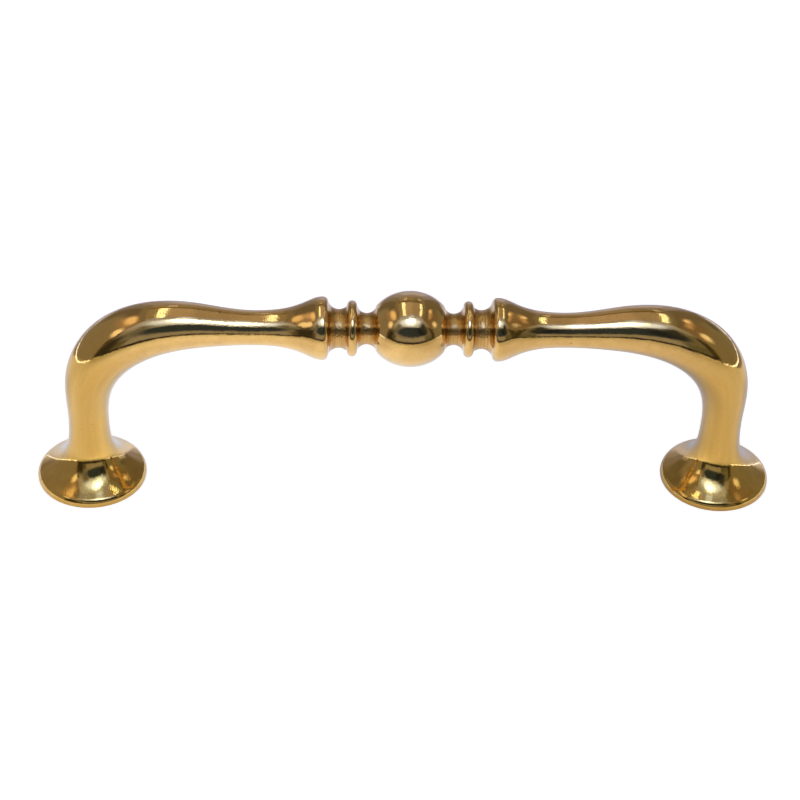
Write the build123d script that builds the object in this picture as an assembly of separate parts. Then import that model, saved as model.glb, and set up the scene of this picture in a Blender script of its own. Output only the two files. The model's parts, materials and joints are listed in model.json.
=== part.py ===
from build123d import *
import os
from math import acos, cos, degrees, radians, sin, sqrt, tan

# Cabinet pull handle: one brass casting, turned at its middle, with an arm and a trumpet foot at each end.
# It stands as on a drawer front that lies flat. The mounting plane is z = 0, the bar runs along X,
# and the origin is midway between the two screw holes. All sizes are in millimetres.

# Overall layout
HOLE_SPACING = 96.0        # between the axes of the two screw holes
BAR_HEIGHT = 28.1          # axis of the turned middle above the mounting plane

# Trumpet feet
FOOT_DIAMETER = 16.6
RIM_LAND = 0.3             # upright edge at the bottom of the rim
RIM_ROLL_RADIUS = 1.2      # rounding above the land
FLARE_TILT = 60.0          # steepest lean of the flare, in degrees from upright, where it meets the roll
WAIST_DIAMETER = 6.1       # thinnest part of the leg
WAIST_HEIGHT = 11.0
FLARE_TOP_PULL = 0.57      # how far the flare's curve holds each end direction, as a share of its height
FLARE_FOOT_PULL = 0.48

# Bent arms: stations on the way from the leg's waist to the bar's neck
LEG_INSET = 0.6            # station's distance inward from the screw hole's axis
LEG_DROP = 9.7             # station's distance below the bar's axis
LEG_DIAMETER = 7.5
ELBOW_INSET = 3.9
ELBOW_DROP = 3.85
ELBOW_DIAMETER = 8.65
SHOULDER_INSET = 9.6
SHOULDER_DROP = 0.56
SHOULDER_DIAMETER = 8.25
CROWN_RISE = 0.3           # the arm's axis rises a little above the bar's axis between shoulder and neck
CROWN_DIAMETER = 6.55
NECK_DIAMETER = 5.2        # thinnest part of the bar
NECK_X = 22.7              # from the middle of the handle

# Turned middle: ball, cove, bead, cove and bell, measured from the middle of the handle
BALL_DIAMETER = 11.3
BALL_LENGTH = 12.6         # of the whole oval, before the coves cut its ends off
BALL_END_X = 5.0
INNER_COVE_X = 6.4
INNER_COVE_DIAMETER = 4.65
BEAD_X = 8.55
BEAD_DIAMETER = 8.35
BEAD_WIDTH = 1.55
BEAD_SIDE_DIAMETER = 6.7   # where the bead meets its two coves
OUTER_COVE_X = 10.45
OUTER_COVE_DIAMETER = 5.75
LIP_X = 12.05              # edge of the bell's mouth
LIP_DIAMETER = 8.15
BELL_X = 12.85             # widest part of the bell
BELL_DIAMETER = 9.45
BELL_FULLNESS = 0.24       # how far the bell's curve holds each end direction, as a share of its length
NECK_FULLNESS = 0.7

# Tapped screw holes, modelled at the core of an M4 thread
HOLE_DIAMETER = 3.3
HOLE_DEPTH = 12.0
HOLE_MOUTH_CHAMFER = 0.4
DRILL_POINT_ANGLE = 118.0

ARM_SECTIONS = 29          # circles that the loft of one arm passes through

foot_x = HOLE_SPACING / 2


def solid_of_revolution(outline, axis):
    """Revolves an outline drawn in the XZ plane, with its ends on the axis, into a solid."""
    return revolve(make_face(Plane.XZ * outline), axis)


def turned_middle():
    """Ball, beads and bells on the bar's axis, up to the thin neck at each end."""
    ball_radius = BALL_DIAMETER / 2
    ball_half_length = BALL_LENGTH / 2
    ball_end_radius = ball_radius * sqrt(1 - (BALL_END_X / ball_half_length) ** 2)
    ball_end_angle = degrees(acos(BALL_END_X / ball_half_length))
    bead_inner_x = BEAD_X - BEAD_WIDTH / 2
    bead_outer_x = BEAD_X + BEAD_WIDTH / 2
    bead_side = BEAD_SIDE_DIAMETER / 2
    lip = (LIP_X, LIP_DIAMETER / 2)
    bell = (BELL_X, BELL_DIAMETER / 2)
    neck = (NECK_X, NECK_DIAMETER / 2)
    bell_length = NECK_X - BELL_X

    inner_cove = ThreePointArc(
        (BALL_END_X, ball_end_radius),
        (INNER_COVE_X, INNER_COVE_DIAMETER / 2),
        (bead_inner_x, bead_side),
    )
    bead = ThreePointArc(
        (bead_inner_x, bead_side), (BEAD_X, BEAD_DIAMETER / 2), (bead_outer_x, bead_side)
    )
    outer_cove = ThreePointArc(
        (bead_outer_x, bead_side), (OUTER_COVE_X, OUTER_COVE_DIAMETER / 2), lip
    )
    mouth = TangentArc(bell, lip, tangent=(-1, 0))
    flank = Bezier(
        bell,
        (bell[0] + BELL_FULLNESS * bell_length, bell[1]),
        (neck[0] - NECK_FULLNESS * bell_length, neck[1]),
        neck,
    )
    end_face = Line(neck, (NECK_X, 0))
    one_side = [inner_cove, bead, outer_cove, mouth, flank, end_face]
    ball = EllipticalCenterArc(
        (0, 0),
        ball_half_length,
        ball_radius,
        start_angle=ball_end_angle,
        arc_size=180 - 2 * ball_end_angle,
    )
    axis_line = Line((-NECK_X, 0), (NECK_X, 0))
    outline = Curve() + [ball, axis_line, *one_side, *[mirror(e, Plane.YZ) for e in one_side]]
    return Pos(Z=BAR_HEIGHT) * solid_of_revolution(outline, Axis.X)


def trumpet_foot():
    """Flared foot from the flat seat up to the leg's waist."""
    foot_radius = FOOT_DIAMETER / 2
    waist = (WAIST_DIAMETER / 2, WAIST_HEIGHT)
    tilt = radians(FLARE_TILT)
    roll_top = (
        foot_radius - RIM_ROLL_RADIUS * (1 - cos(tilt)),
        RIM_LAND + RIM_ROLL_RADIUS * sin(tilt),
    )
    flare_height = WAIST_HEIGHT - roll_top[1]
    pull = FLARE_FOOT_PULL * flare_height

    seat = Line((0, 0), (foot_radius, 0))
    land = Line((foot_radius, 0), (foot_radius, RIM_LAND))
    roll = TangentArc((foot_radius, RIM_LAND), roll_top, tangent=(0, 1))
    flare = Bezier(
        roll_top,
        (roll_top[0] - pull * sin(tilt), roll_top[1] + pull * cos(tilt)),
        (waist[0], WAIST_HEIGHT - FLARE_TOP_PULL * flare_height),
        waist,
    )
    top = Line(waist, (0, WAIST_HEIGHT))
    axis_line = Line((0, WAIST_HEIGHT), (0, 0))
    outline = Curve() + [seat, land, roll, flare, top, axis_line]
    return Pos(X=foot_x) * solid_of_revolution(outline, Axis.Z)


def bent_arm():
    """Round arm of changing thickness, lofted from the leg's waist through the elbow to the bar's neck."""
    shoulder_x = foot_x - SHOULDER_INSET
    crown_x = (shoulder_x + NECK_X) / 2
    # The side line runs along the arm's widest edge: its Y is the radius, its X and Z are the arm's axis.
    side_line = Spline(
        (foot_x, WAIST_DIAMETER / 2, WAIST_HEIGHT),
        (foot_x - LEG_INSET, LEG_DIAMETER / 2, BAR_HEIGHT - LEG_DROP),
        (foot_x - ELBOW_INSET, ELBOW_DIAMETER / 2, BAR_HEIGHT - ELBOW_DROP),
        (shoulder_x, SHOULDER_DIAMETER / 2, BAR_HEIGHT - SHOULDER_DROP),
        (crown_x, CROWN_DIAMETER / 2, BAR_HEIGHT + CROWN_RISE),
        (NECK_X, NECK_DIAMETER / 2, BAR_HEIGHT),
        tangents=((0, 0, 1), (-1, 0, 0)),
    )
    sections = []
    for i in range(ARM_SECTIONS):
        along = i / (ARM_SECTIONS - 1)
        point = side_line @ along
        direction = side_line % along
        across = Plane(
            origin=(point.X, 0, point.Z), x_dir=(0, 1, 0), z_dir=(direction.X, 0, direction.Z)
        )
        sections.append(across * Circle(point.Y))
    return loft(sections)


def screw_hole():
    """Cutter for one tapped hole: chamfered mouth, threaded length and drill point."""
    radius = HOLE_DIAMETER / 2
    mouth_radius = radius + HOLE_MOUTH_CHAMFER
    point_depth = radius / tan(radians(DRILL_POINT_ANGLE / 2))
    outline = Polyline(
        (0, 0),
        (mouth_radius, 0),
        (radius, HOLE_MOUTH_CHAMFER),
        (radius, HOLE_DEPTH),
        (0, HOLE_DEPTH + point_depth),
        close=True,
    )
    return Pos(X=foot_x) * solid_of_revolution(outline, Axis.Z)


def handle():
    """The whole casting as one solid."""
    end = bent_arm() + trumpet_foot() - screw_hole()
    return turned_middle() + end + mirror(end, Plane.YZ)


os.makedirs("parts", exist_ok=True)
export_step(handle(), "parts/handle.step")
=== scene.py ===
import json
from math import cos, pi, radians, sin, tan

import bpy
import numpy as np
from mathutils import Matrix, Vector


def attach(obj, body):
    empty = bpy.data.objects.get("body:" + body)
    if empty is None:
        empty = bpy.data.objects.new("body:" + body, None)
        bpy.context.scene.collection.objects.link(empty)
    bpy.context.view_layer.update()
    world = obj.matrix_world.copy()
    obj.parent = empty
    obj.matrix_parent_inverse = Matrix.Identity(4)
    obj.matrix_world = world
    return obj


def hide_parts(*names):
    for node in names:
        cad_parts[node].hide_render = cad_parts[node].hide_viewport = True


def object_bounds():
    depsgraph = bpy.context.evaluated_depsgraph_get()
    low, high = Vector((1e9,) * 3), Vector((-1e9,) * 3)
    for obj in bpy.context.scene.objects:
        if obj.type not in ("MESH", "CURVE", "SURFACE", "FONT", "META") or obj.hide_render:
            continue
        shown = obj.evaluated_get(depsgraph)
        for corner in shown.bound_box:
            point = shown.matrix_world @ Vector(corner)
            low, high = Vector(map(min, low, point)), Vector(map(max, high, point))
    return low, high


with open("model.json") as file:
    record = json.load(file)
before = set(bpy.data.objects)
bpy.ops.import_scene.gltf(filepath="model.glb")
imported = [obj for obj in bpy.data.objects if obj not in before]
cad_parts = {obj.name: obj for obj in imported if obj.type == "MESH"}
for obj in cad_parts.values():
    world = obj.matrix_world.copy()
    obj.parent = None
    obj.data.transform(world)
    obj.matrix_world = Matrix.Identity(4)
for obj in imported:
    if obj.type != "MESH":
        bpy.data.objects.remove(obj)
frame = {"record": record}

cad_low, cad_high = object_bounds()


# Turned middle.
# The middle of the bar is turned on a lathe: an oval ball, and on each side of it a cove, a half-round
# bead, a second cove and a bell that runs out into the thin neck of the bar. All of it is solid brass.
mm = 0.001
bar_height = 28.1 * mm
ball_radius = cad_high.z - bar_height
ball_half_length = 6.3 * mm
ball_end_x = 5 * mm
inner_cove_x = 6.4 * mm
inner_cove_radius = 2.325 * mm
bead_x = 8.55 * mm
bead_radius = 4.175 * mm
bead_half_width = 0.775 * mm
bead_side_radius = 3.35 * mm
outer_cove_x = 10.45 * mm
outer_cove_radius = 2.875 * mm
lip_x = 12.05 * mm
lip_radius = 4.075 * mm
bell_x = 12.85 * mm
bell_radius = 4.725 * mm
bell_fullness = 0.24
neck_fullness = 0.7
neck_x = 22.7 * mm
neck_radius = 2.6 * mm
edge_softness = 0.05 * mm    # how far polishing has rounded the turned edges
softness_points = 4          # points in the length of one edge softness
softness_reach = 4           # the rounding takes in this many softnesses to each side
curve_points = 120           # points on each arc or curve before the rings are chosen
longest_ring_gap = 0.42 * mm
ring_turn = radians(5)       # most that the outline turns from one ring to the next


def arc_through(first, middle, last):
    """Points on the circular arc from first to last that passes through middle."""
    a, b, c = (np.array(p) for p in (first, middle, last))
    chords = np.array([b - a, c - a])
    centre = a + np.linalg.solve(2 * chords, (chords**2).sum(1))
    spokes = [p - centre for p in (a, b, c)]
    angles = np.unwrap([np.arctan2(s[1], s[0]) for s in spokes])
    swing = np.linspace(angles[0], angles[2], curve_points)
    radius = np.linalg.norm(spokes[0])
    return centre + radius * np.stack([np.cos(swing), np.sin(swing)], 1)


def bezier(start, start_pull, end_pull, end):
    """Points on a cubic curve from start to end, drawn out towards the two pulls."""
    t = np.linspace(0, 1, curve_points)[:, None]
    corners = [np.array(p) for p in (start, start_pull, end_pull, end)]
    weights = [(1 - t) ** 3, 3 * t * (1 - t) ** 2, 3 * t**2 * (1 - t), t**3]
    return sum(w * p for w, p in zip(weights, corners))


def polished(outline):
    """Rounds an outline's edges a little, with close points where it bends and few where it runs straight."""
    lengths = np.r_[0, np.cumsum(np.linalg.norm(np.diff(outline, axis=0), axis=1))]
    step = edge_softness / softness_points
    along = np.linspace(0, lengths[-1], int(lengths[-1] / step))
    fine = np.stack([np.interp(along, lengths, column) for column in outline.T], 1)
    reach = softness_reach * softness_points
    bell_weights = np.exp(-0.5 * (np.arange(-reach, reach + 1) * step / edge_softness) ** 2)
    bell_weights /= bell_weights.sum()
    before = 2 * fine[0] - fine[reach:0:-1]
    after = 2 * fine[-1] - fine[-2:-reach - 2:-1]
    padded_line = np.vstack([before, fine, after])
    soft = np.stack([np.convolve(column, bell_weights, "valid") for column in padded_line.T], 1)
    heading = np.gradient(soft, axis=0)
    angle = np.unwrap(np.arctan2(heading[:, 1], heading[:, 0]))
    need = np.linalg.norm(heading, axis=1) / longest_ring_gap + np.abs(np.gradient(angle)) / ring_turn
    total = np.cumsum(need) - need[0]
    wanted = np.linspace(0, total[-1], int(total[-1]) + 2)
    return np.stack([np.interp(wanted, total, column) for column in soft.T], 1)


ball_end_radius = ball_radius * np.sqrt(1 - (ball_end_x / ball_half_length) ** 2)
bead_inner_x = bead_x - bead_half_width
bead_outer_x = bead_x + bead_half_width
bell_length = neck_x - bell_x
mouth_radius = ((bell_x - lip_x) ** 2 + (bell_radius - lip_radius) ** 2) / (2 * (bell_radius - lip_radius))
mouth_swing = np.linspace(0, np.arcsin((bell_x - lip_x) / mouth_radius), curve_points)
flank = bezier(
    (neck_x, neck_radius),
    (neck_x - neck_fullness * bell_length, neck_radius),
    (bell_x + bell_fullness * bell_length, bell_radius),
    (bell_x, bell_radius),
)
mouth = np.stack(
    [bell_x - mouth_radius * np.sin(mouth_swing), bell_radius - mouth_radius * (1 - np.cos(mouth_swing))], 1
)
outer_cove = arc_through(
    (lip_x, lip_radius), (outer_cove_x, outer_cove_radius), (bead_outer_x, bead_side_radius)
)
bead = arc_through((bead_outer_x, bead_side_radius), (bead_x, bead_radius), (bead_inner_x, bead_side_radius))
inner_cove = arc_through(
    (bead_inner_x, bead_side_radius), (inner_cove_x, inner_cove_radius), (ball_end_x, ball_end_radius)
)
ball_end_angle = np.arccos(ball_end_x / ball_half_length)
ball_swing = np.linspace(ball_end_angle, pi - ball_end_angle, 2 * curve_points)
ball = np.stack([ball_half_length * np.cos(ball_swing), ball_radius * np.sin(ball_swing)], 1)
right_side = np.vstack([flank, mouth[1:], outer_cove[1:], bead[1:], inner_cove[1:]])
left_side = right_side[::-1] * [-1, 1]
turned_outline = polished(np.vstack([right_side, ball[1:], left_side[1:]]))


# Bent arms.
# From each foot a round arm rises, thickens at its elbow and thins again to the neck of the bar.
# It is cast in one with the rest and filed and polished by hand.
foot_x = frame["record"]["mounts"][0]["dims"]["spacing_x_mm"] * mm / 2
waist_radius = 3.05 * mm
waist_height = 11 * mm
shoulder_x = foot_x - 9.6 * mm
crown_x = (shoulder_x + neck_x) / 2
arm_rings = 110
# Each station is the arm's axis, across and up, and its radius there.
arm_stations = [
    (foot_x, waist_height, waist_radius),
    (foot_x - 0.6 * mm, bar_height - 9.7 * mm, 3.75 * mm),
    (foot_x - 3.9 * mm, bar_height - 3.85 * mm, 4.325 * mm),
    (shoulder_x, bar_height - 0.56 * mm, 4.125 * mm),
    (crown_x, bar_height + 0.3 * mm, 3.275 * mm),
    (neck_x, bar_height, neck_radius),
]


def spline_through(points, start_heading, end_heading, count):
    """A smooth line through the points that leaves and arrives along the two headings."""
    points = np.array(points)
    gaps = np.linalg.norm(np.diff(points, axis=0), axis=1)
    last = len(points) - 1
    rows = np.zeros((last + 1, last + 1))
    sides = np.zeros_like(points)
    rows[0, 0] = rows[last, last] = 1
    sides[0] = start_heading
    sides[last] = end_heading
    for i in range(1, last):
        rows[i, i - 1:i + 2] = gaps[i], 2 * (gaps[i - 1] + gaps[i]), gaps[i - 1]
        rise_before = (points[i] - points[i - 1]) / gaps[i - 1]
        rise_after = (points[i + 1] - points[i]) / gaps[i]
        sides[i] = 3 * (gaps[i] * rise_before + gaps[i - 1] * rise_after)
    slopes = np.linalg.solve(rows, sides)
    starts = np.r_[0, np.cumsum(gaps)]
    along = np.linspace(0, starts[-1], count)
    k = np.clip(np.searchsorted(starts, along, side="right") - 1, 0, last - 1)
    gap = gaps[k][:, None]
    t = (along - starts[k])[:, None] / gap
    from_start = (2 * t**3 - 3 * t**2 + 1) * points[k] + (t**3 - 2 * t**2 + t) * gap * slopes[k]
    to_end = (3 * t**2 - 2 * t**3) * points[k + 1] + (t**3 - t**2) * gap * slopes[k + 1]
    return from_start + to_end


arm_line = spline_through(arm_stations, (0, 1, 0), (-1, 0, 0), arm_rings)
arm_heading = np.gradient(arm_line[:, :2], axis=0)
arm_heading /= np.linalg.norm(arm_heading, axis=1)[:, None]


# Trumpet feet.
# Each arm ends in a round trumpet foot with a rolled rim, whose flat seat lies on the drawer front.
# The flare is turned and polished, and the seat is left flat.
foot_radius = cad_high.y
rim_land = 0.3 * mm
rim_roll_radius = 1.2 * mm
flare_tilt = radians(60)
flare_top_pull = 0.57
flare_foot_pull = 0.48

roll_top = (
    foot_radius - rim_roll_radius * (1 - cos(flare_tilt)),
    rim_land + rim_roll_radius * sin(flare_tilt),
)
flare_height = waist_height - roll_top[1]
roll_swing = np.linspace(0, flare_tilt, curve_points)
roll = np.stack(
    [
        foot_radius - rim_roll_radius * (1 - np.cos(roll_swing)),
        rim_land + rim_roll_radius * np.sin(roll_swing),
    ],
    1,
)
flare = bezier(
    roll_top,
    (
        roll_top[0] - flare_foot_pull * flare_height * sin(flare_tilt),
        roll_top[1] + flare_foot_pull * flare_height * cos(flare_tilt),
    ),
    (waist_radius, waist_height - flare_top_pull * flare_height),
    (waist_radius, waist_height),
)


# Tapped holes.
# A blind hole is drilled up into each leg from the seat, chamfered at its mouth and tapped for an M4
# screw that comes through the drawer front from behind.
core_radius = 1.65 * mm
thread_depth = 0.32 * mm
thread_pitch = 0.7 * mm
thread_rings = 6             # rings for each turn of the thread
hole_depth = 12 * mm
mouth_chamfer = 0.4 * mm
thread_end = 10.5 * mm       # the tap stops short of the drilled depth
drill_point_angle = radians(118)
drill_tip_radius = 0.02 * mm

point_depth = core_radius / tan(drill_point_angle / 2)
hole_mouth = [(core_radius, mouth_chamfer), (core_radius + mouth_chamfer, 0), (foot_radius, 0)]
foot_outline = polished(np.vstack([hole_mouth, roll, flare[1:]]))
thread_heights = np.arange(thread_end, mouth_chamfer, -thread_pitch / thread_rings)[1:]
drilled_end = [
    (drill_tip_radius, hole_depth + point_depth),
    (core_radius, hole_depth),
    (core_radius, thread_end),
]


# Casting.
# The forms above are one brass casting, from the drill point of one hole round the foot, arm, turned
# middle and other arm to the other drill point. Its skin is one closed mesh of rings.
sides_round = 96
same_place = 1e-6 * mm
rings = []                   # each: axis across, axis up, radius, heading across, heading up, thread depth
for radius, height in drilled_end:
    rings.append((foot_x, height, radius, 0, -1, 0))
for height in thread_heights:
    rings.append((foot_x, height, core_radius, 0, -1, thread_depth))
for radius, height in foot_outline:
    rings.append((foot_x, height, radius, 0, 1, 0))
for (x, height, radius), (across, up) in list(zip(arm_line, arm_heading))[1:]:
    rings.append((x, height, radius, across, up, 0))
half_turned = turned_outline[1:(len(turned_outline) + 1) // 2]
for x, radius in half_turned:
    rings.append((x, bar_height, radius, -1, 0, 0))
right_half = np.array(rings)
left_half = right_half[::-1] * [-1, 1, 1, 1, -1, 1]
if abs(right_half[-1, 0]) < same_place:    # a ring in the very middle is kept once
    left_half = left_half[1:]
rings = np.vstack([right_half, left_half])


def thread_form(turn):
    """Depth of the cut thread, from 0 at its crest to 1 at its root, by the share of a turn."""
    return np.abs(2 * (turn % 1) - 1)


def casting_mesh(name):
    """Skins the rings as one closed tube, and closes it with a point at each drilled end."""
    count = len(rings)
    around = np.linspace(0, 2 * pi, sides_round, endpoint=False)
    turns = rings[:, 1:2] / thread_pitch - around / (2 * pi)
    radius = rings[:, 2:3] + rings[:, 5:6] * thread_form(turns)
    heading_x, heading_z = rings[:, 3:4], np.abs(rings[:, 4:5])
    heading_z = np.where(rings[:, 0:1] < 0, -heading_z, heading_z)
    points = np.stack(
        [
            rings[:, 0:1] - heading_z * radius * np.sin(around),
            radius * np.cos(around),
            rings[:, 1:2] + heading_x * radius * np.sin(around),
        ],
        2,
    ).reshape(-1, 3)
    tips = [
        (rings[0, 0], 0, hole_depth + point_depth),
        (rings[-1, 0], 0, hole_depth + point_depth),
    ]
    ring, side = np.meshgrid(np.arange(count - 1), np.arange(sides_round), indexing="ij")
    ahead = (side + 1) % sides_round
    quads = np.stack(
        [
            ring * sides_round + side,
            ring * sides_round + ahead,
            (ring + 1) * sides_round + ahead,
            (ring + 1) * sides_round + side,
        ],
        2,
    ).reshape(-1, 4)
    first_tip = count * sides_round
    fans = []
    for i in range(sides_round):
        j = (i + 1) % sides_round
        fans.append((first_tip, j, i))
        fans.append((first_tip + 1, first_tip - sides_round + i, first_tip - sides_round + j))
    mesh = bpy.data.meshes.new(name)
    mesh.from_pydata([*points.tolist(), *tips], [], [*quads.tolist(), *fans])
    mesh.validate()
    mesh.shade_smooth()
    mesh.update()
    return mesh


handle_mesh = casting_mesh("pull_handle")
handle = bpy.data.objects.new("pull_handle", handle_mesh)
bpy.context.scene.collection.objects.link(handle)


inner_cove_reach = 1.45 * mm
outer_cove_reach = 1.5 * mm
cove_fullness = 2.2          # how soon a cove is at its dullest on the way down from its edge


def cove_depth(x):
    """1 in the bottom of a cove, 0 on the bead, ball and bell."""
    x = np.abs(x)
    inner = np.clip(1 - np.abs(x - inner_cove_x) / inner_cove_reach, 0, 1)
    outer = np.clip(1 - np.abs(x - outer_cove_x) / outer_cove_reach, 0, 1)
    return np.clip(cove_fullness * np.maximum(inner, outer), 0, 1)


recess = np.repeat(cove_depth(rings[:, 0]), sides_round)
recess = np.r_[recess, 0, 0].astype(np.float32)
handle_mesh.attributes.new("recess", "FLOAT", "POINT").data.foreach_set("value", recess)

# The legs and feet are a yellower brass than the bar.
yellow_from = 27.5 * mm      # above the mounting plane
yellow_fade = 6 * mm
yellowness = np.clip((yellow_from - rings[:, 1]) / yellow_fade, 0, 1)
yellowness = np.r_[np.repeat(yellowness, sides_round), 0, 0].astype(np.float32)
handle_mesh.attributes.new("leg_tone", "FLOAT", "POINT").data.foreach_set("value", yellowness)

# The left of the bar and the ball are polished less finely, and their skin is sandier.
sandy_bar_x = -25 * mm
sandy_bar_reach = 6 * mm
sandy_ball_reach = 4 * mm
sandy_ball_share = 0.3
sandy_bar = np.exp(-(((rings[:, 0] - sandy_bar_x) / sandy_bar_reach) ** 2))
sandy_ball = sandy_ball_share * np.exp(-((rings[:, 0] / sandy_ball_reach) ** 2))
sandiness = sandy_bar + sandy_ball
sandiness = np.r_[np.repeat(sandiness, sides_round), 0, 0].astype(np.float32)
handle_mesh.attributes.new("sandy_skin", "FLOAT", "POINT").data.foreach_set("value", sandiness)

# The polishing wheel ran along the arms, so its streaks are long that way and narrow across.
streak_stretch = 0.06
steps = np.linalg.norm(np.diff(rings[:, :2], axis=0), axis=1)
walked = np.r_[0, np.cumsum(steps)] * streak_stretch
turn = np.linspace(0, 2 * pi, sides_round, endpoint=False)
draw_line = np.zeros((len(rings), sides_round, 3))
draw_line[:, :, 0] = walked[:, None]
draw_line[:, :, 1] = rings[:, 2:3] * np.cos(turn)
draw_line[:, :, 2] = rings[:, 2:3] * np.sin(turn)
draw_line = np.vstack([draw_line.reshape(-1, 3), np.zeros((2, 3))]).astype(np.float32)
handle_mesh.attributes.new("draw_line", "FLOAT_VECTOR", "POINT").data.foreach_set("vector", draw_line.ravel())


# Brass finish.
# The casting is polished brass: warm gold on the outside, browner and duller in the coves that the
# polishing wheel could not reach, with fine grain, a few pits and the marks of the lathe in the coves.
brass = bpy.data.materials.new("polished_brass")
brass.use_nodes = True
brass_nodes = brass.node_tree.nodes
brass_links = brass.node_tree.links
brass_shader = brass_nodes["Principled BSDF"]
brass_shader.inputs["Metallic"].default_value = 1.0
brass_shader.inputs["Coat Roughness"].default_value = 0.05
brass_shader.inputs["Coat IOR"].default_value = 1.5


def brass_node(kind, settings=None, inputs=None):
    """A node of the brass material, with its settings and its inputs, which may be other nodes' outputs."""
    node = brass_nodes.new(kind)
    for name, value in (settings or {}).items():
        setattr(node, name, value)
    for name, value in (inputs or {}).items():
        if isinstance(value, bpy.types.NodeSocket):
            brass_links.new(value, node.inputs[name])
        else:
            node.inputs[name].default_value = value
    return node


def brass_mix(factor, plain, other):
    """A colour between two colours, by a factor that changes over the surface."""
    mix = brass_node("ShaderNodeMix", {"data_type": "RGBA"}, {"Factor": factor})
    for socket, colour in ((mix.inputs[6], plain), (mix.inputs[7], other)):
        if isinstance(colour, bpy.types.NodeSocket):
            brass_links.new(colour, socket)
        else:
            socket.default_value = (*colour, 1)
    return mix.outputs[2]


def brass_noise(place, scale, detail, low, high):
    """Noise at the place, stretched so that it runs from 0 at low to 1 at high."""
    noise = brass_node("ShaderNodeTexNoise", inputs={"Vector": place, "Scale": scale, "Detail": detail})
    limits = {"Value": noise.outputs["Fac"], "From Min": low, "From Max": high}
    return brass_node("ShaderNodeMapRange", inputs=limits).outputs["Result"]


def brass_bump(height, depth, normal=None, strength=1.0):
    """A bump of the given depth in metres, laid over an earlier one."""
    inputs = {"Height": height, "Distance": depth, "Strength": strength}
    if normal:
        inputs["Normal"] = normal
    return brass_node("ShaderNodeBump", inputs=inputs).outputs["Normal"]


place = brass_node("ShaderNodeTexCoord").outputs["Object"]
in_cove = brass_node("ShaderNodeAttribute", {"attribute_name": "recess"}).outputs["Fac"]
on_leg = brass_node("ShaderNodeAttribute", {"attribute_name": "leg_tone"}).outputs["Fac"]
is_sandy = brass_node("ShaderNodeAttribute", {"attribute_name": "sandy_skin"}).outputs["Fac"]
along_arm = brass_node("ShaderNodeAttribute", {"attribute_name": "draw_line"}).outputs["Vector"]

bar_gold = (0.60, 0.365, 0.104)
bar_pale = (0.67, 0.42, 0.134)
leg_gold = (0.575, 0.335, 0.056)
leg_pale = (0.66, 0.40, 0.084)
dark_gold = (0.49, 0.28, 0.075)
satin_brown = (0.36, 0.19, 0.05)
satin_pale = (0.60, 0.37, 0.13)
pit_brown = (0.34, 0.18, 0.06)
bar_direction = (1, 0, 0)
across_lathe = brass_node("ShaderNodeVectorMath", {"operation": "MULTIPLY"}, {0: place, 1: bar_direction})
lathe_lines = brass_noise(across_lathe.outputs["Vector"], 4300.0, 2.0, 0.25, 0.75)
cloud = brass_noise(place, 480.0, 4.0, 0.3, 0.7)
leg_cloud = brass_noise(along_arm, 800.0, 4.0, 0.3, 0.7)
sand = brass_noise(place, 3300.0, 2.0, 0.55, 1.1)
pits = brass_noise(place, 1300.0, 1.0, 0.76, 0.80)
tone = brass_mix(on_leg, brass_mix(cloud, bar_gold, bar_pale), brass_mix(leg_cloud, leg_gold, leg_pale))
tone = brass_mix(sand, tone, dark_gold)
tone = brass_mix(in_cove, tone, brass_mix(lathe_lines, satin_brown, satin_pale))
tone = brass_mix(pits, tone, pit_brown)
brass_links.new(tone, brass_shader.inputs["Base Color"])

bright_roughness = 0.05
hazy_roughness = 0.11
cove_roughness = 0.23
haze = brass_noise(place, 700.0, 4.0, 0.35, 0.75)
wheel_roughness = brass_node(
    "ShaderNodeMapRange",
    inputs={"Value": haze, "To Min": bright_roughness, "To Max": hazy_roughness},
)
lathe_roughness = brass_node(
    "ShaderNodeMapRange",
    inputs={"Value": in_cove, "To Min": wheel_roughness.outputs["Result"], "To Max": cove_roughness},
)
brass_links.new(lathe_roughness.outputs["Result"], brass_shader.inputs["Roughness"])

# The thin clear lacquer is worn in the coves.
full_lacquer = 1.0
worn_lacquer = 0.3
lacquer = brass_node(
    "ShaderNodeMapRange",
    inputs={"Value": in_cove, "To Min": full_lacquer, "To Max": worn_lacquer},
)
brass_links.new(lacquer.outputs["Result"], brass_shader.inputs["Coat Weight"])

# Waves left by hand filing, long and short polishing streaks, grain and pits all over, sand on the
# sandy skin and in the coves, and lathe lines in the coves.
streak_squeeze = (4, 1, 1)
short_way = brass_node("ShaderNodeVectorMath", {"operation": "MULTIPLY"}, {0: along_arm, 1: streak_squeeze})
hand_waves = brass_noise(place, 300.0, 1.0, 0.0, 1.0)
long_streaks = brass_noise(along_arm, 1600.0, 2.0, 0.0, 1.0)
short_streaks = brass_noise(short_way.outputs["Vector"], 2900.0, 2.0, 0.0, 1.0)
grain = brass_noise(place, 3000.0, 2.0, 0.0, 1.0)
fine_sand = brass_noise(place, 3400.0, 2.0, 0.0, 1.0)
normal = brass_bump(hand_waves, 0.018 * mm)
normal = brass_bump(long_streaks, 0.008 * mm, normal)
normal = brass_bump(short_streaks, 0.009 * mm, normal)
normal = brass_bump(grain, 0.0045 * mm, normal)
normal = brass_bump(fine_sand, 0.02 * mm, normal, is_sandy)
normal = brass_bump(pits, -0.01 * mm, normal)
normal = brass_bump(fine_sand, 0.05 * mm, normal, in_cove)
normal = brass_bump(lathe_lines, 0.06 * mm, normal, in_cove)
brass_links.new(normal, brass_shader.inputs["Normal"])
handle_mesh.materials.append(brass)
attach(handle, "root")
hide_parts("handle")


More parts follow.
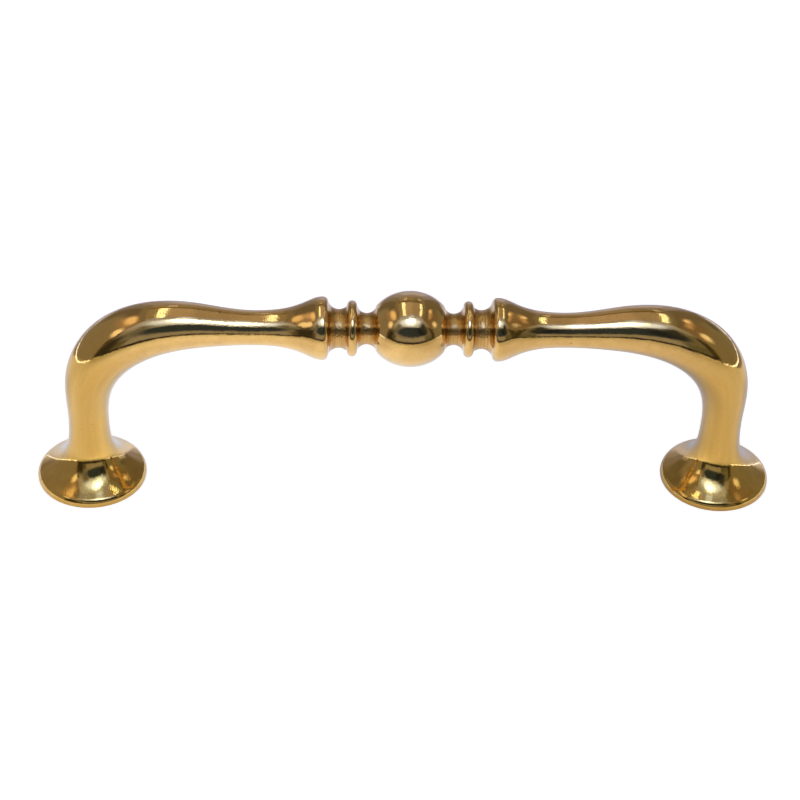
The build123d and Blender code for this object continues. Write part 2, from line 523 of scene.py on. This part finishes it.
# Floor.
# A sheet of white paper on a brown bench. It shows white to the eye, and the metal shows the sheet and its
# far edge as a glow, with the handle's shadow partly cast and partly painted into it, and a pool of light
# painted under the bar.
floor_half = 620
floor_step = 4
sheet_back = 48
sheet_side = 170
sheet_corner = 150           # the sheet's right corner is cut along the line where x and y add up to this
sheet_softness = 14
eye_white = 0.8
paper_grey = 0.5
sheet_white = np.array((0.66, 0.62, 0.52))
middle_glow = np.array((0.38, 0.41, 0.42))      # painted pool of light under the left of the bar
foot_shade = np.array((0.55, 0.52, 0.44))       # painted shadow right round each foot
left_leg_shade = np.array((0.20, 0.26, 0.30))   # and painted shadow in front of each leg
right_leg_shade = np.array((0.02, 0.06, 0.11))
back_shade = np.array((0.29, 0.26, 0.12))       # painted shade: the back of the sheet is dimmer and bluer
front_shade = np.array((0.22, 0.22, 0.26))      # painted shade: its front is a little darker and yellower
# the painted shade on the sheet goes no darker than this
darkest_shade = np.array((0.10, 0.09, 0.06))
bench_brown = np.array((0.06, 0.03, 0.0))
cloth_lilac = np.array((0.40, 0.38, 0.46))      # pale cloth lying behind the sheet
seat_gap = 0.05              # the sheet lies this far under the seats, so that the two never flicker
# Where these painted lights and shades lie on the floor, how far they reach and how softly they end.
cloth_back = 170
cloth_back_softness = 60
cloth_side = 105
cloth_side_softness = 40
glow_x = -26
glow_reach = 46
foot_shade_x = 46
foot_shade_reach = 7.5
leg_shade_x = 43
leg_shade_y = -24
leg_shade_reach = 15
dim_back = 2
dim_back_softness = 14
dim_side = 85
dim_side_softness = 30
front_shade_start = -70
yellow_front_softness = 80


def soft_step(distance, softness):
    """Rises smoothly from 0 to 1 across an edge of the given softness."""
    t = np.clip(distance / softness + 0.5, 0, 1)
    return t * t * (3 - 2 * t)


def light_sheet(name, first_range, second_range, step, place_point, light_at, material):
    """A fine flat sheet that keeps the light of each of its points, in millimetres until it is placed."""
    first_count = int((first_range[1] - first_range[0]) / step) + 1
    second_count = int((second_range[1] - second_range[0]) / step) + 1
    first_values = np.linspace(*first_range, first_count)
    second_values = np.linspace(*second_range, second_count)
    first, second = (grid.ravel() for grid in np.meshgrid(first_values, second_values))
    column, row = np.meshgrid(np.arange(first_count - 1), np.arange(second_count - 1))
    corner = (row * first_count + column).ravel()
    faces = np.stack([corner, corner + 1, corner + first_count + 1, corner + first_count], 1)
    points = np.stack(np.broadcast_arrays(*place_point(first, second)), 1) * mm
    mesh = bpy.data.meshes.new(name)
    mesh.from_pydata(points.tolist(), [], faces.tolist())
    light = np.ones((len(first), 4))
    light[:, :3] = light_at(first, second)
    mesh.attributes.new("sheet_light", "FLOAT_COLOR", "POINT").data.foreach_set("color", light.ravel())
    mesh.materials.append(material)
    sheet = bpy.data.objects.new(name, mesh)
    bpy.context.scene.collection.objects.link(sheet)
    return sheet


def paper_light(x, y):
    """Light of the floor in the metal: the white sheet with its painted light and shade, and the cloth and
    the bench round it.
    """
    on_sheet = soft_step(sheet_back - y, sheet_softness) * soft_step(sheet_side - np.abs(x), sheet_softness)
    on_sheet = (on_sheet * soft_step(sheet_corner - x - y, sheet_softness))[:, None]
    on_cloth = soft_step(cloth_back - y, cloth_back_softness)
    on_cloth = (on_cloth * soft_step(cloth_side - np.abs(x), cloth_side_softness))[:, None]
    by_middle = np.exp(-(((x - glow_x) / glow_reach) ** 2))[:, None]
    by_foot = np.exp(-((np.abs(x) - foot_shade_x) ** 2 + y**2) / (2 * foot_shade_reach**2))[:, None]
    from_leg = (np.abs(x) - leg_shade_x) ** 2 + (y - leg_shade_y) ** 2
    by_leg = np.exp(-from_leg / (2 * leg_shade_reach**2))[:, None]
    leg_shade = np.where(x[:, None] < 0, left_leg_shade, right_leg_shade)
    at_back = soft_step(y - dim_back, dim_back_softness)
    at_back = (at_back * soft_step(dim_side - np.abs(x), dim_side_softness))[:, None]
    at_front = soft_step(front_shade_start - y, yellow_front_softness)[:, None]
    sheet_light = sheet_white + by_middle * middle_glow - by_foot * foot_shade - by_leg * leg_shade
    sheet_light = sheet_light - at_back * back_shade - at_front * front_shade
    sheet_light = np.maximum(sheet_light, darkest_shade)
    beyond = bench_brown + on_cloth * (cloth_lilac - bench_brown)
    return beyond + on_sheet * (sheet_light - beyond)


paper = bpy.data.materials.new("white_paper")
paper.use_nodes = True
paper_nodes = paper.node_tree.nodes
paper_links = paper.node_tree.links
paper_nodes.clear()
paper_paths = paper_nodes.new("ShaderNodeLightPath")
paper_light_kept = paper_nodes.new("ShaderNodeAttribute")
paper_light_kept.attribute_name = "sheet_light"
to_metal = paper_nodes.new("ShaderNodeEmission")
paper_links.new(paper_light_kept.outputs["Color"], to_metal.inputs["Color"])
paper_links.new(paper_paths.outputs["Is Glossy Ray"], to_metal.inputs["Strength"])
to_eye = paper_nodes.new("ShaderNodeEmission")
to_eye.inputs["Color"].default_value = (eye_white, eye_white, eye_white, 1)
paper_links.new(paper_paths.outputs["Is Camera Ray"], to_eye.inputs["Strength"])
paper_diffuse = paper_nodes.new("ShaderNodeBsdfDiffuse")
paper_diffuse.inputs["Color"].default_value = (paper_grey, paper_grey, paper_grey, 1)
paper_glow = paper_nodes.new("ShaderNodeAddShader")
paper_links.new(to_metal.outputs[0], paper_glow.inputs[0])
paper_links.new(to_eye.outputs[0], paper_glow.inputs[1])
paper_sum = paper_nodes.new("ShaderNodeAddShader")
paper_links.new(paper_glow.outputs[0], paper_sum.inputs[0])
paper_links.new(paper_diffuse.outputs[0], paper_sum.inputs[1])
# From below the sheet is clear, so that the seats and the tapped holes can be seen.
paper_side = paper_nodes.new("ShaderNodeNewGeometry")
paper_clear = paper_nodes.new("ShaderNodeBsdfTransparent")
paper_mix = paper_nodes.new("ShaderNodeMixShader")
paper_links.new(paper_side.outputs["Backfacing"], paper_mix.inputs["Fac"])
paper_links.new(paper_sum.outputs[0], paper_mix.inputs[1])
paper_links.new(paper_clear.outputs[0], paper_mix.inputs[2])
paper_output = paper_nodes.new("ShaderNodeOutputMaterial")
paper_links.new(paper_mix.outputs[0], paper_output.inputs["Surface"])
floor_range = (-floor_half, floor_half)
light_sheet("floor", floor_range, floor_range, floor_step, lambda x, y: (x, y, -seat_gap), paper_light, paper)


# Light tent.
# Thin cloth stands close round the handle and glows with painted light and shade: a window light in front of
# it above a dark opening, a small lamp and a warm patch on each side, painted shade in its corners and along
# the floor, and two rows of strip lamps overhead.
tent_left = -178
tent_right = 178
tent_front = -120
tent_back = 610
tent_top = 420
cloth_step = 3
all_of_it = (-2000, 2000)
cloth_panels = {"front": [], "left": [], "right": [], "top": [], "back": []}


def hang(wall, across, up, softness, light, oval=False):
    """Hangs a panel of painted light and shade on the glowing cloth of a wall, over the ones before it."""
    cloth_panels[wall].append((across, up, softness, light, oval))


def cloth_light(wall):
    """A function that gives the wall's light at each point."""
    def light_at(across, up):
        light = np.zeros((len(across), 3))
        for (first, last), (low, high), softness, colour, oval in cloth_panels[wall]:
            if oval:
                reach = min(last - first, high - low) / 2
                sideways = (2 * across - first - last) / (last - first)
                upwards = (2 * up - low - high) / (high - low)
                cover = soft_step((1 - np.hypot(sideways, upwards)) * reach, softness)
            else:
                cover = soft_step(across - first, softness) * soft_step(last - across, softness)
                cover = cover * soft_step(up - low, softness) * soft_step(high - up, softness)
            light += cover[:, None] * (np.array(colour) - light)
        return light
    return light_at


hang("front", all_of_it, all_of_it, 1, (0.38, 0.39, 0.42))
hang("front", (100, 250), (20, 150), 50, (0.22, 0.22, 0.17))            # olive cloth on the right
hang("front", (-250, -85), (15, 130), 50, (0.25, 0.265, 0.28))          # grey cloth on the left
hang("front", (-250, -85), (150, 500), 60, (0.50, 0.50, 0.60))
hang("front", all_of_it, (300, 600), 60, (0.60, 0.66, 0.88))            # blue daylight above
hang("front", (-140, 140), (130, 420), 90, (0.62, 0.75, 1.10), True)    # halo round the window light
hang("front", (-88, 110), (48, 144), 22, (0.046, 0.068, 0.11), True)    # dark opening
hang("front", (40, 108), (60, 128), 24, (0.022, 0.03, 0.05), True)
hang("front", (-112, -70), (100, 204), 36, (0.20, 0.21, 0.22), True)    # its two horns
hang("front", (66, 122), (80, 236), 36, (0.05, 0.06, 0.06), True)
hang("front", (-100, 102), (150, 330), 54, (1.25, 1.7, 3.3), True)      # window light
hang("front", (-38, 42), (190, 334), 52, (5.0, 6.4, 10.5), True)
hang("front", (-145, 150), (24, 50), 12, (0.40, 0.41, 0.42))            # pale band at the foot of the cloth
hang("front", (78, 250), (20, 56), 18, (0.165, 0.17, 0.12))
hang("front", (-250, -84), (20, 60), 18, (0.15, 0.145, 0.10))
hang("front", (-250, -112), (10, 96), 30, (0.055, 0.05, 0.04))          # painted shade in the corners
hang("front", (-250, -160), (60, 170), 20, (0.11, 0.09, 0.05))
hang("front", (152, 250), (10, 130), 20, (0.07, 0.06, 0.03))
hang("front", all_of_it, (7, 22), 7, (0.04, 0.035, 0.025))              # shadow along the floor
hang("front", all_of_it, (-20, 6), 6, (0.75, 0.74, 0.62))

hang("left", all_of_it, all_of_it, 1, (0.21, 0.19, 0.15))
hang("left", (330, 900), all_of_it, 120, (0.30, 0.29, 0.31))
hang("left", all_of_it, (310, 600), 60, (0.29, 0.26, 0.21))
hang("left", (-200, 140), (-50, 190), 70, (0.34, 0.315, 0.27))
hang("left", (-98, 84), (165, 310), 60, (0.50, 0.38, 0.29))             # glow round the warm patch
hang("left", (-76, 66), (208, 306), 50, (1.3, 1.06, 0.74), True)        # warm patch
hang("left", (-150, -104), (10, 105), 22, (0.10, 0.085, 0.05))          # painted shade in the corner
hang("left", (-122, -58), (122, 186), 32, (1.5, 1.4, 1.2), True)        # lamp
hang("left", (160, 330), (-20, 45), 50, (0.55, 0.53, 0.58))

hang("right", all_of_it, all_of_it, 1, (0.22, 0.195, 0.15))
hang("right", (370, 900), all_of_it, 120, (0.38, 0.37, 0.46))
hang("right", all_of_it, (320, 600), 60, (0.28, 0.28, 0.23))
hang("right", (-200, 120), (-50, 150), 70, (0.29, 0.275, 0.21))
hang("right", (-130, 60), (120, 250), 60, (0.29, 0.225, 0.15))
hang("right", (-46, 110), (192, 236), 36, (0.70, 0.53, 0.37))           # warm patch
hang("right", (38, 84), (204, 250), 30, (1.4, 1.2, 0.95), True)
hang("right", (95, 155), (60, 95), 36, (0.13, 0.15, 0.15))
hang("right", (130, 270), (-20, 36), 40, (0.74, 0.74, 0.90))            # pale cloth at the back
hang("right", (-150, -104), (10, 110), 22, (0.09, 0.075, 0.03))         # painted shade in the corner
hang("right", (-72, -30), (96, 146), 30, (1.4, 1.35, 1.2), True)        # lamp

hang("top", all_of_it, all_of_it, 1, (0.39, 0.34, 0.26))
hang("top", (60, 300), (330, 700), 60, (0.31, 0.275, 0.20))
hang("top", (-110, 178), (-80, 275), 50, (0.47, 0.41, 0.36))
hang("top", (-70, 30), (-80, 275), 44, (0.58, 0.505, 0.455))
hang("top", all_of_it, (285, 350), 40, (0.19, 0.16, 0.085))             # dark gap between the lamps
hang("top", all_of_it, (-200, -75), 60, (0.42, 0.48, 0.74))             # blue daylight in front
hang("top", (-20, 50), (-160, -84), 44, (1.0, 1.35, 2.6), True)

hang("back", all_of_it, all_of_it, 1, (0.40, 0.38, 0.42))
hang("back", (-80, 300), (-50, 240), 90, (0.58, 0.58, 0.72))            # pale cloth in the middle

glowing_tent_cloth = bpy.data.materials.new("glowing_tent_cloth")
glowing_tent_cloth.use_nodes = True
tent_nodes = glowing_tent_cloth.node_tree.nodes
tent_nodes.clear()
tent_light = tent_nodes.new("ShaderNodeAttribute")
tent_light.attribute_name = "sheet_light"
tent_glow = tent_nodes.new("ShaderNodeEmission")
tent_output = tent_nodes.new("ShaderNodeOutputMaterial")
glowing_tent_cloth.node_tree.links.new(tent_light.outputs["Color"], tent_glow.inputs["Color"])
glowing_tent_cloth.node_tree.links.new(tent_glow.outputs[0], tent_output.inputs["Surface"])
glowing_tent_cloth.cycles.emission_sampling = "NONE"

wide = (tent_left, tent_right)
deep = (tent_front, tent_back)
high = (0, tent_top)
tent_walls = {
    "front": (wide, high, lambda across, up: (across, tent_front, up)),
    "back": (wide, high, lambda across, up: (across, tent_back, up)),
    "left": (deep, high, lambda across, up: (tent_left, across, up)),
    "right": (deep, high, lambda across, up: (tent_right, across, up)),
    "top": (wide, deep, lambda across, up: (across, up, tent_top)),
}
for name, (across_range, up_range, place_point) in tent_walls.items():
    light_at = cloth_light(name)
    wall = light_sheet("tent_" + name, across_range, up_range, cloth_step, place_point, light_at, glowing_tent_cloth)
    wall.visible_camera = False

# Each strip lamp is three tubes side by side.
lamp_drop = 4
lamp_height = tent_top - lamp_drop
tube_width = 6
tube_pitch = 15
warm_tube = np.array((4.6, 5.1, 4.7))
far_tube = np.array((1.5, 1.4, 1.4))
# Each row is the middle of the lamp across, its two ends and its light.
lamp_rows = [
    (-94, -84, 272, warm_tube),
    (163, -80, 245, warm_tube),
    (-66, 380, 560, far_tube),
    (163, 360, 520, far_tube),
]
for row, (middle, first, last, light) in enumerate(lamp_rows):
    for tube in (-1, 0, 1):
        x = middle + tube * tube_pitch
        lamp = light_sheet(
            f"strip_lamp_{row}_{tube + 1}",
            (x - tube_width / 2, x + tube_width / 2),
            (first, last),
            tube_width,
            lambda across, along: (across, along, lamp_height),
            lambda across, along: light,
            glowing_tent_cloth,
        )
        lamp.visible_camera = False

# The paper is turned up a little where it meets the cloth on each side; there a thin strip glows with a
# painted highlight.
edge_inset = 1
edge_ends = (-98, 330)
edge_low = 0.3
edge_high = 3.0
edge_light = np.array((4.0, 4.4, 5.4))
paper_edges = {"paper_edge_left": tent_left + edge_inset, "paper_edge_right": tent_right - edge_inset}
for name, x in paper_edges.items():
    edge = light_sheet(
        name,
        edge_ends,
        (edge_low, edge_high),
        edge_high - edge_low,
        lambda across, up: (x, across, up),
        lambda across, up: edge_light,
        glowing_tent_cloth,
    )
    edge.visible_camera = False

world = bpy.data.worlds.new("white_room")
world.use_nodes = True
world.node_tree.nodes["Background"].inputs["Color"].default_value = (1, 1, 1, 1)
world.node_tree.nodes["Background"].inputs["Strength"].default_value = 1.0
bpy.context.scene.world = world
bpy.context.scene.view_settings.view_transform = "Standard"


# Camera.
# It looks down on the handle from the front with a long lens, turned a little on its own axis.
camera_elevation = radians(38.686)
camera_azimuth = radians(-2.709)
camera_roll = radians(2.0925)
camera_distance = 347.26 * mm
camera_target = Vector((-1.106 * mm, 0.058 * mm, 14.658 * mm))
camera_lens = 103.72

backward = Vector(
    (
        sin(camera_azimuth) * cos(camera_elevation),
        -cos(camera_azimuth) * cos(camera_elevation),
        sin(camera_elevation),
    )
)
level_right = Vector((0, 0, 1)).cross(backward).normalized()
level_up = backward.cross(level_right)
right = level_right * cos(camera_roll) + level_up * sin(camera_roll)
up = level_up * cos(camera_roll) - level_right * sin(camera_roll)
camera_data = bpy.data.cameras.new("camera")
camera_data.lens = camera_lens
camera_data.sensor_width = 36
camera_data.clip_start = 0.01
camera = bpy.data.objects.new("camera", camera_data)
bpy.context.scene.collection.objects.link(camera)
turned = Matrix((right, up, backward)).transposed().to_4x4()
camera.matrix_world = Matrix.Translation(camera_target + backward * camera_distance) @ turned
bpy.context.scene.camera = camera
